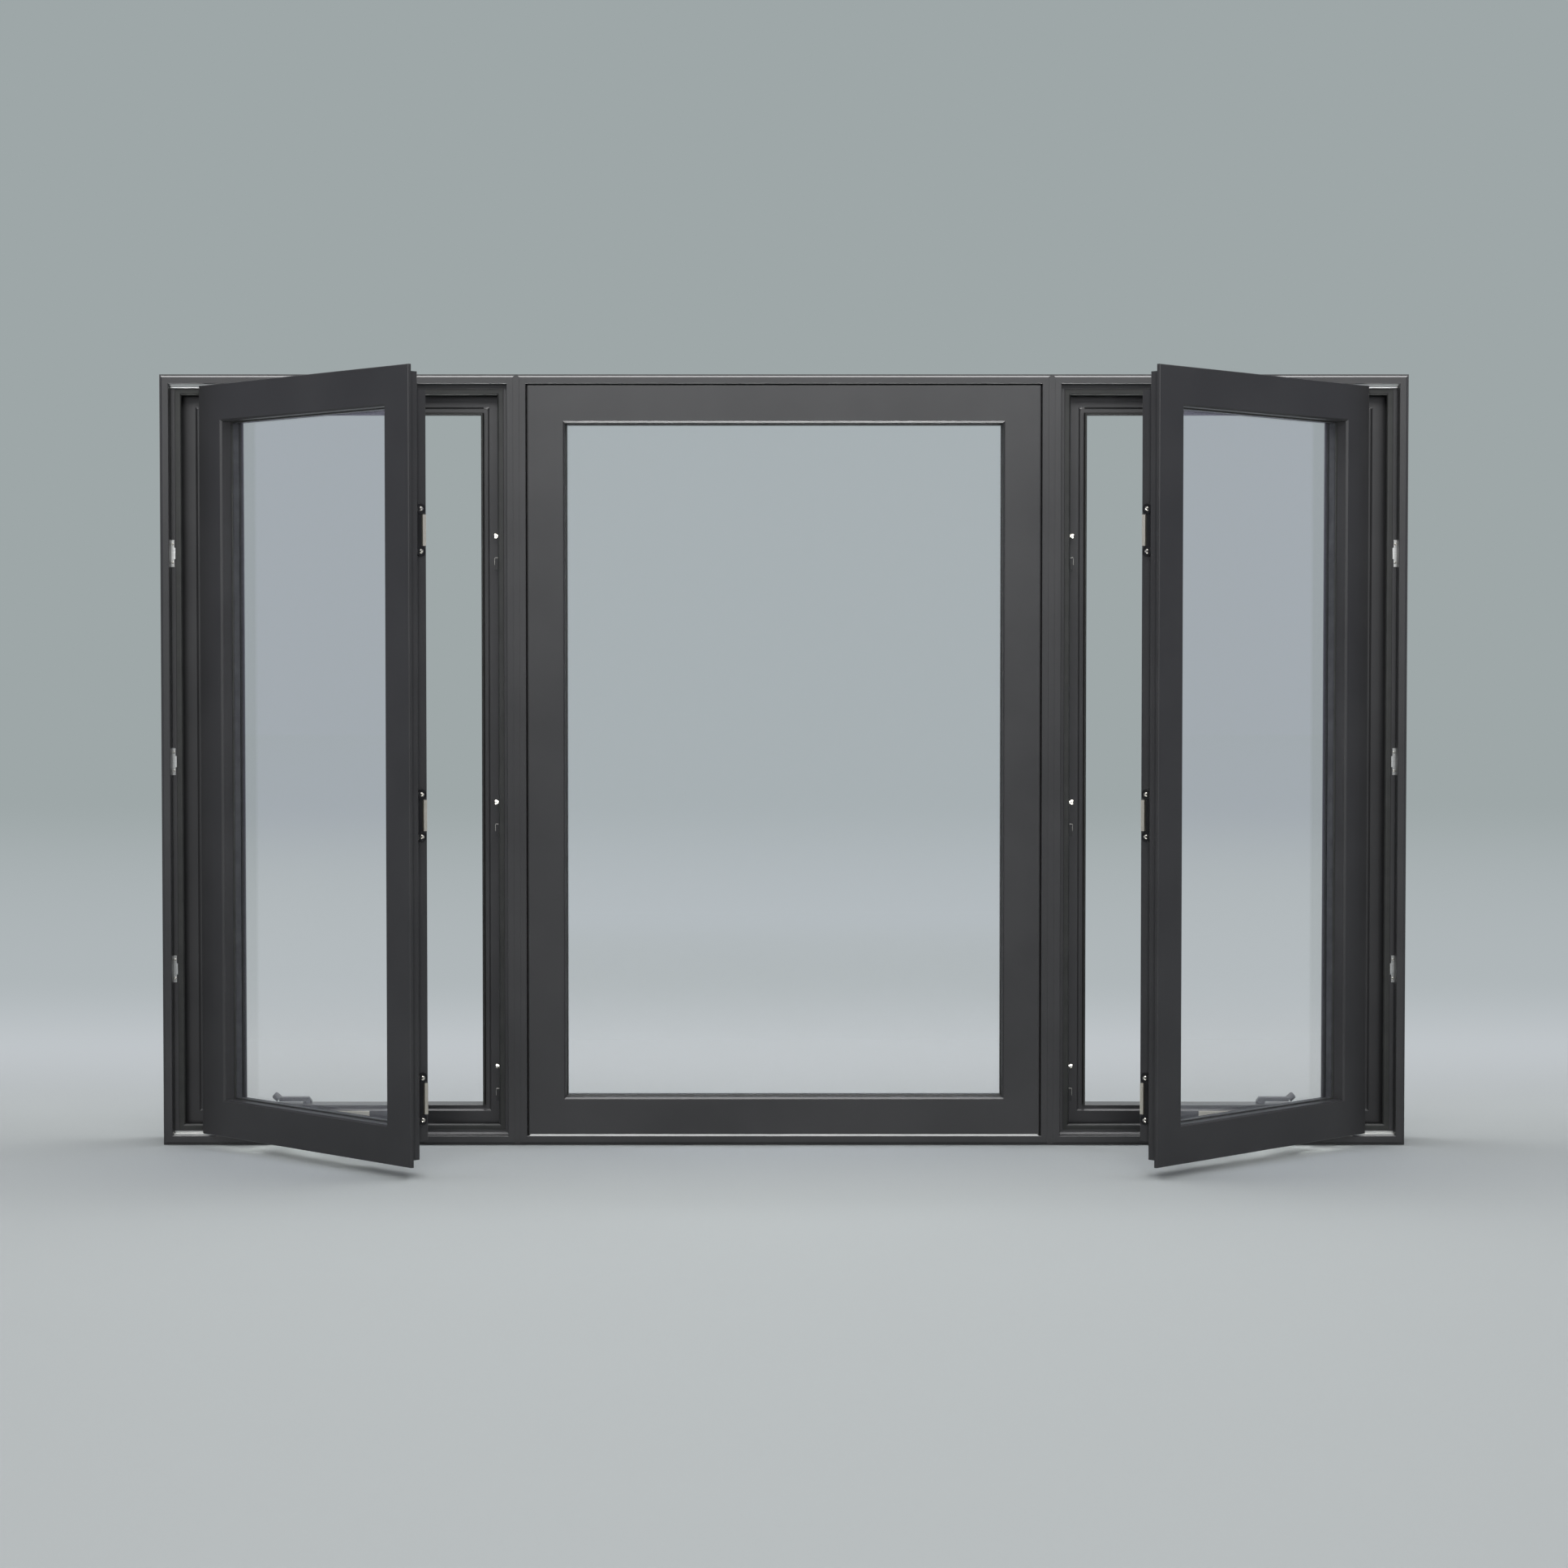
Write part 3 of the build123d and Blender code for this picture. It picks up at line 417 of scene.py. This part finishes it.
# %% Glass
glass, tree, output = finish("coated_float_glass")
pane = add(tree, "ShaderNodeBsdfPrincipled", {
    "Base Color": colour("ffffff"),
    "Roughness": 0.0,
    "IOR": 1.52,
    "Transmission Weight": 1.0,
    "Specular IOR Level": 1.0,
    "Specular Tint": colour("f0efff"),
})
clear = add(tree, "ShaderNodeBsdfTransparent", {"Color": colour("f4f5f8")})
path = add(tree, "ShaderNodeLightPath")
light_rays = add(tree, "ShaderNodeMath", {
    0: path.outputs["Is Shadow Ray"],
    1: path.outputs["Is Diffuse Ray"],
}, operation="MAXIMUM")
mix = add(tree, "ShaderNodeMixShader", {0: light_rays.outputs[0], 1: pane.outputs[0], 2: clear.outputs[0]})
tree.links.new(mix.outputs[0], output.inputs["Surface"])
print("made", glass.name)

# %% [markdown]
# Each solid names the slot of its finish in the record, so the finishes go on by slot. The
# solids themselves are not touched.

# %% Put the finishes on the solids
FINISHES = {
    "charcoal_finish": charcoal,
    "seal_rubber": rubber,
    "glass": glass,
    "spacer": spacer_skin,
    "stainless_steel": stainless,
    "plated_steel": plated,
    "cast_zinc": zinc,
    "black_nylon": nylon,
    "keeper_black": keeper_paint,
    "handle_paint": handle_paint,
}
for piece in frame["record"]["subparts"]:
    slots = nodes[piece["node"]].material_slots
    for slot in slots:
        slot.link = "OBJECT"
        slot.material = FINISHES[piece["material_slot"]]

# %% [markdown]
# Screws, clips and gaskets have to sit exactly on the solids, so their places are measured on
# the solids. A node can hold several solids that do not touch; they are told apart by which
# corners share faces. The sashes stand open at 45 degrees, so each side has its own two
# directions: along the sash towards its free edge, and from outdoors to the room.

# %% Measure the solids
OPEN_ANGLE = radians(45.0)
RIGHT, BACK, UP = Vector((1, 0, 0)), Vector((0, 1, 0)), Vector((0, 0, 1))


def islands(name):
    """The separate solids of a node, each as a list of its corners in metres."""
    thing = nodes[name]
    corners = [thing.matrix_world @ vertex.co for vertex in thing.data.vertices]
    keys = [tuple(round(value, 6) for value in corner) for corner in corners]
    leader = {key: key for key in keys}

    def head(key):
        while leader[key] != key:
            key = leader[key]
        return key

    for face in thing.data.polygons:
        first = head(keys[face.vertices[0]])
        for index in face.vertices[1:]:
            leader[head(keys[index])] = first
    solids = {}
    for key in leader:
        solids.setdefault(head(key), []).append(Vector(key))
    return list(solids.values())


def reach(points, axis):
    """Least and greatest distance of points along an axis."""
    along = [point.dot(axis) for point in points]
    return min(along), max(along)


def seat(points, face, along, step, across, offset=0.0):
    """A place on the outermost face of a solid, off its middle by a step and an offset in mm."""
    middle_along = sum(reach(points, along)) / 2 + step * MM
    middle_across = sum(reach(points, across)) / 2 + offset * MM
    return face * reach(points, face)[1] + along * middle_along + across * middle_across


def side_of(points):
    """-1 for a solid of the left casement, 1 for one of the right."""
    return -1 if sum(reach(points, RIGHT)) < 0 else 1


def sash_axes(side):
    """Directions along an open sash to its free edge, and through it to the room."""
    return (Vector((-side * cos(OPEN_ANGLE), -sin(OPEN_ANGLE), 0)),
            Vector((-side * sin(OPEN_ANGLE), cos(OPEN_ANGLE), 0)))


print("solids:", {name: len(islands(name)) for name in ("jamb_snubbers", "sash_keepers", "lock_guides")})

# %% [markdown]
# Every fitting is held by pan head screws with a cross recess. A real head is a low cone with
# a rounded rim, pressed from wire and then struck with the cross. The tree makes one head, a
# cone less two crossed bars, sets it on each point with its axis along the stored direction,
# and turns each by its own angle, since no two screws stop at the same place.

# %% Screw head with Geometry Nodes
# Radius of the rim and of the flat top, and length of the cross, as shares of the head's width
HEAD_RIM = 0.5
HEAD_FLAT = 0.36
CROSS_LONG = 0.55
HEAD_SIDES = 24
SCREW_SEED = 7


def new_tree(name, sizes):
    """An empty tree with a geometry input, one input for each size in mm, and a material."""
    tree = bpy.data.node_groups.new(name, "GeometryNodeTree")
    tree.interface.new_socket("Points", in_out="INPUT", socket_type="NodeSocketGeometry")
    for label, value in sizes.items():
        socket = tree.interface.new_socket(label, in_out="INPUT", socket_type="NodeSocketFloat")
        socket.default_value = value * MM
    tree.interface.new_socket("Finish", in_out="INPUT", socket_type="NodeSocketMaterial")
    tree.interface.new_socket("Pieces", in_out="OUTPUT", socket_type="NodeSocketGeometry")
    return tree, add(tree, "NodeGroupInput").outputs


def set_on_points(tree, inputs, shape, axis, pivot, seed=None):
    """One shape on each point along its stored direction, as real mesh with the finish.

    With a seed, each copy is also turned about its own axis by chance.
    """
    stored = add(tree, "GeometryNodeInputNamedAttribute", {"Name": "facing"}, data_type="FLOAT_VECTOR")
    turn = add(tree, "FunctionNodeAlignRotationToVector", {"Vector": stored.outputs["Attribute"]},
               axis=axis, pivot_axis=pivot)
    rotation = turn.outputs[0]
    if seed is not None:
        # Output 1 of the node is its plain number
        chance = add(tree, "FunctionNodeRandomValue", {"Seed": seed}, data_type="FLOAT")
        angle = add(tree, "ShaderNodeMath", {0: chance.outputs[1], 1: pi / 2}, operation="MULTIPLY")
        spin = add(tree, "FunctionNodeAxisAngleToRotation", {"Axis": (0, 0, 1), "Angle": angle.outputs[0]})
        both = add(tree, "FunctionNodeRotateRotation", {0: rotation, 1: spin.outputs[0]},
                   rotation_space="LOCAL")
        rotation = both.outputs[0]
    copies = add(tree, "GeometryNodeInstanceOnPoints",
                 {"Points": inputs["Points"], "Instance": shape, "Rotation": rotation})
    real = add(tree, "GeometryNodeRealizeInstances", {"Geometry": copies.outputs[0]})
    painted = add(tree, "GeometryNodeSetMaterial",
                  {"Geometry": real.outputs[0], "Material": inputs["Finish"]})
    add(tree, "NodeGroupOutput", {"Pieces": painted.outputs[0]})


screw_tree, inputs = new_tree("pan_head_screw", {"Head": 7.0, "Height": 2.2, "Slot": 1.1})
rim, flat, long = (
    add(screw_tree, "ShaderNodeMath", {0: inputs["Head"], 1: share}, operation="MULTIPLY").outputs[0]
    for share in (HEAD_RIM, HEAD_FLAT, CROSS_LONG)
)
cone = add(screw_tree, "GeometryNodeMeshCone", {
    "Vertices": HEAD_SIDES,
    "Radius Bottom": rim,
    "Radius Top": flat,
    "Depth": inputs["Height"],
})
cross = add(screw_tree, "GeometryNodeMeshBoolean", operation="UNION")
for x, y in ((long, inputs["Slot"]), (inputs["Slot"], long)):
    size = add(screw_tree, "ShaderNodeCombineXYZ", {"X": x, "Y": y, "Z": inputs["Height"]})
    bar = add(screw_tree, "GeometryNodeMeshCube", {"Size": size.outputs[0]})
    screw_tree.links.new(bar.outputs["Mesh"], cross.inputs["Mesh 2"])
lift = add(screw_tree, "ShaderNodeCombineXYZ", {"Z": inputs["Height"]})
struck = add(screw_tree, "GeometryNodeTransform", {
    "Geometry": cross.outputs["Mesh"],
    "Translation": lift.outputs[0],
})
pan = add(screw_tree, "GeometryNodeMeshBoolean", {
    "Mesh 1": cone.outputs["Mesh"],
    "Mesh 2": struck.outputs[0],
}, operation="DIFFERENCE")
set_on_points(screw_tree, inputs, pan.outputs["Mesh"], "Z", "AUTO", SCREW_SEED)
print("made the tree", screw_tree.name, "with", len(screw_tree.nodes), "nodes")

# %% [markdown]
# Each kind of fitting gets its screws where its maker would put them: at both ends of a plate,
# clear of what slides or turns, and near the middle of its width.

# %% Places of the screws
SNUBBER_SCREWS = (-16.0, 16.0)
SNUBBER_SCREW_ASIDE = 1.0
KEEPER_SCREWS = (-34.0, 34.0)
SASH_PLATE_SCREWS = (38.0, 62.0)
SASH_PLATE_THICK = 2.5
OPERATOR_SCREWS = (-122.0, -70.0, 45.0, 122.0)
OPERATOR_PLATE_THICK = 6.0
LEVER_HEIGHT = 400.0
LEVER_SCREWS = (-38.0, 38.0)
LEVER_PLATE_THICK = 4.0


def on_plate(solid, face, thick, place):
    """A place moved to the face of the plate that a fitting is built on."""
    return place + face * (reach(solid, face)[0] + thick * MM - place.dot(face))


snubber_places, keeper_places, plate_places, operator_places, lever_places = [], [], [], [], []
for solid in islands("jamb_snubbers"):
    for step in SNUBBER_SCREWS:
        place = seat(solid, -BACK, UP, step, RIGHT, side_of(solid) * SNUBBER_SCREW_ASIDE)
        snubber_places.append((place, -BACK))
for solid in islands("sash_keepers"):
    along, through = sash_axes(side_of(solid))
    for step in KEEPER_SCREWS:
        keeper_places.append((seat(solid, along, UP, step, through), along))
for solid in islands("hinge_sash_plates"):
    along, through = sash_axes(side_of(solid))
    face = UP if sum(reach(solid, UP)) > cad_box[1][2] else -UP
    for step in SASH_PLATE_SCREWS:
        place = seat(solid, face, along, step, through)
        plate_places.append((on_plate(solid, face, SASH_PLATE_THICK, place), face))
for solid in islands("operators"):
    for step in OPERATOR_SCREWS:
        place = seat(solid, -BACK, RIGHT, -side_of(solid) * step, UP)
        operator_places.append((on_plate(solid, -BACK, OPERATOR_PLATE_THICK, place), -BACK))
for solid in islands("lock_levers"):
    for step in LEVER_SCREWS:
        place = RIGHT * (sum(reach(solid, RIGHT)) / 2) + UP * (LEVER_HEIGHT + step) * MM
        lever_places.append((on_plate(solid, BACK, LEVER_PLATE_THICK, place), BACK))
print("screw places:", len(snubber_places), len(keeper_places), len(plate_places),
      len(operator_places), len(lever_places))

# %% [markdown]
# A tree works on a mesh that holds nothing but points. Its sizes are set on the modifier, and
# what the tree makes of them becomes a plain mesh, which needs no tree any more. Real screws
# differ from fitting to fitting, so each kind has its own size and metal.

# %% Grow the screws


def grow(name, tree, places, sizes, material):
    """A plain mesh from a tree that sets its shape on (place, direction) points."""
    mesh = bpy.data.meshes.new(name)
    mesh.from_pydata([place for place, facing in places], [], [])
    stored = mesh.attributes.new("facing", "FLOAT_VECTOR", "POINT")
    for item, (place, facing) in zip(stored.data, places):
        item.vector = facing
    thing = bpy.data.objects.new(name, mesh)
    modifier = thing.modifiers.new("grow", "NODES")
    modifier.node_group = tree
    for item in tree.interface.items_tree:
        if item.name in sizes:
            modifier[item.identifier] = sizes[item.name] * MM
        elif item.name == "Finish":
            modifier[item.identifier] = material
    scene.collection.objects.link(thing)
    grown = bpy.data.meshes.new_from_object(thing.evaluated_get(bpy.context.evaluated_depsgraph_get()))
    thing.modifiers.clear()
    thing.data = grown
    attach(thing, "root")
    print("made", name, "on", len(places), "points,", len(grown.polygons), "faces")
    return thing


for name, places, sizes, metal, slot_name in (
    ("snubber_screws", snubber_places, {"Head": 4.4, "Height": 1.6, "Slot": 0.8}, plated, "plated_steel"),
    ("keeper_screws", keeper_places, {"Head": 7.0, "Height": 2.0}, plated, "plated_steel"),
    ("hinge_screws", plate_places, {"Head": 7.0, "Height": 2.0}, stainless, "stainless_steel"),
    ("operator_screws", operator_places, {"Head": 8.0, "Height": 2.4}, plated, "plated_steel"),
    ("lever_screws", lever_places, {"Head": 6.0, "Height": 2.0}, handle_paint, "handle_paint"),
):
    grow(name, screw_tree, places, sizes, metal)

# %% [markdown]
# A bent strip of bright steel is pushed over the corner of each nylon lock guide and takes the
# rub of the sash. It is an L of two flat legs, so the tree joins two thin boxes.

# %% Clips on the lock guides
CLIP = {"Leg": 8.0, "Drop": 12.0, "Width": 9.0, "Thick": 0.8}
clip_tree, inputs = new_tree("guide_clip", CLIP)
thick = inputs["Thick"]
whole = add(clip_tree, "GeometryNodeJoinGeometry")
for long, high, shift in ((inputs["Leg"], thick, (-0.5, 0, 0.5)), (thick, inputs["Drop"], (0.5, 0, -0.5))):
    size = add(clip_tree, "ShaderNodeCombineXYZ", {"X": long, "Y": inputs["Width"], "Z": high})
    strip = add(clip_tree, "GeometryNodeMeshCube", {"Size": size.outputs[0]})
    place = add(clip_tree, "ShaderNodeVectorMath", {0: size.outputs[0], 1: shift}, operation="MULTIPLY")
    bent = add(clip_tree, "GeometryNodeTransform", {
        "Geometry": strip.outputs["Mesh"],
        "Translation": place.outputs[0],
    })
    clip_tree.links.new(bent.outputs[0], whole.inputs[0])
set_on_points(clip_tree, inputs, whole.outputs[0], "X", "Z")
clip_places = []
for solid in islands("lock_guides"):
    outward = RIGHT * side_of(solid)
    low, high = reach(solid, UP)
    clip_places.append((seat(solid, outward, BACK, 0.0, UP) + UP * (high - low) / 2, outward))
grow("guide_clips", clip_tree, clip_places, CLIP, plated)

# %% [markdown]
# Between glass and sash lies a wedge of black rubber, outdoors and in the room. It is what
# draws the thin dark line round a pane. Its section is swept round the opening with mitred
# corners, so one ring of corner points is enough. The section is given in millimetres, from
# the edge of the opening inwards and from the glass outwards.

# %% Glazing gaskets
GLASS_COVER = 10.0
WEDGE = ((0.0, 0.0), (2.4, 0.0), (1.7, 1.6), (0.0, 2.2))


def gasket_ring(mesh, panes, along, through, outdoors):
    """Add a wedge round the visible opening of a pane, on its outdoor or its room face."""
    lows, highs = zip(*(reach(panes, axis) for axis in (along, UP)))
    depth = reach(panes, through)[0 if outdoors else 1]
    lean = -1 if outdoors else 1
    ring = []
    for end_along, end_up in ((0, 0), (1, 0), (1, 1), (0, 1)):
        corner = []
        for inward, proud in WEDGE:
            step = (GLASS_COVER + inward) * MM
            sideways = along * (highs[0] - step if end_along else lows[0] + step)
            upwards = UP * (highs[1] - step if end_up else lows[1] + step)
            corner.append(mesh.verts.new(sideways + upwards + through * (depth + lean * proud * MM)))
        ring.append(corner)
    for index, corner in enumerate(ring):
        following = ring[(index + 1) % len(ring)]
        for point in range(len(WEDGE)):
            after = (point + 1) % len(WEDGE)
            mesh.faces.new((corner[point], corner[after], following[after], following[point]))


def keep(name, mesh, material):
    """Turn a built mesh into a piece of the window."""
    bmesh.ops.recalc_face_normals(mesh, faces=mesh.faces)
    data = bpy.data.meshes.new(name)
    mesh.to_mesh(data)
    mesh.free()
    data.materials.append(material)
    thing = bpy.data.objects.new(name, data)
    scene.collection.objects.link(thing)
    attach(thing, "root")
    print("made", name, "with", len(data.polygons), "faces")
    return thing


gaskets = bmesh.new()
pane_axes = {"left_glass": sash_axes(-1), "centre_glass": (RIGHT, BACK), "right_glass": sash_axes(1)}
for name, axes in pane_axes.items():
    panes = [point for solid in islands(name) for point in solid]
    for outdoors in (True, False):
        gasket_ring(gaskets, panes, *axes, outdoors)
keep("glazing_gaskets", gaskets, rubber)

# %% [markdown]
# The room-side weatherstrips end in moulded feet that stand on the sill. A foot is so small
# that a plain block of the same rubber is enough, and one goes under both ends of each strip.

# %% Weatherstrip feet
FOOT = 4.0


def block(mesh, low, high):
    """Add a box between two corners."""
    xs, ys, zs = zip(low, high)
    corners = [mesh.verts.new((x, y, z)) for z in zs for y in ys for x in xs]
    for face in ((0, 2, 3, 1), (4, 5, 7, 6), (0, 1, 5, 4), (2, 6, 7, 3), (0, 4, 6, 2), (1, 3, 7, 5)):
        mesh.faces.new([corners[index] for index in face])


feet = bmesh.new()
for name in ("left_weatherstrips", "centre_weatherstrip", "right_weatherstrips"):
    inner = max(islands(name), key=lambda solid: reach(solid, UP)[0])
    (left, right), (front, back), (low, high) = (reach(inner, axis) for axis in (RIGHT, BACK, UP))
    foot = FOOT * MM
    for start in (left, right - foot):
        block(feet, (start, front + foot / 2, low - foot), (start + foot, back, low))
keep("weatherstrip_feet", feet, rubber)

# %% [markdown]
# Under the fixed sash a light grey strip fills the gap above the sill and shows as a bright
# line. The strip is a painted highlight: it stands in for the sill ledge lit in that gap, which
# the lamps leave in shade. It is a bar with a slanting front, and its ends are cut back at a
# slant. Each corner of its section is given as its distance from the outdoor face and its height over the
# sill, in millimetres.

# %% Painted highlight strip under the fixed sash
# Painted highlight: a light grey skin for a strip that stands in for the lit sill ledge in the gap
sill_highlight_skin = satin_skin("painted_sill_highlight", "b2b3b2", "bebfbe",
                      roughness=0.45, ripple_mm=3.0, patch_mm=60.0, bump=0.3)
SASH_GAP = 3.0
HIGHLIGHT_SECTION = ((1.2, 0.0), (2.6, SASH_GAP), (6.0, SASH_GAP), (6.0, 0.0))
highlight_strip = bmesh.new()
rail_low, rail_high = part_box("centre_bottom_rail")
sill_top = rail_low.z - SASH_GAP * MM
rows = []
for end, lean in ((rail_low.x, 1), (rail_high.x, -1)):
    row = []
    for deep, high in HIGHLIGHT_SECTION:
        row.append(highlight_strip.verts.new((end + lean * high * MM, front_y + deep * MM, sill_top + high * MM)))
    rows.append(row)
for index in range(len(HIGHLIGHT_SECTION)):
    after = (index + 1) % len(HIGHLIGHT_SECTION)
    highlight_strip.faces.new((rows[0][index], rows[0][after], rows[1][after], rows[1][index]))
for row in rows:
    highlight_strip.faces.new(row)
keep("painted_highlight_strip", highlight_strip, sill_highlight_skin)

# %% [markdown]
# Last, the sizes of the solids and of the finished window are put side by side, and the box
# of the finished window is printed.

# %% Sizes and end
visual_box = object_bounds()
sizes = {"cad": [list(corner) for corner in cad_box], "visual": [list(corner) for corner in visual_box]}
print("visual box", sizes["visual"])
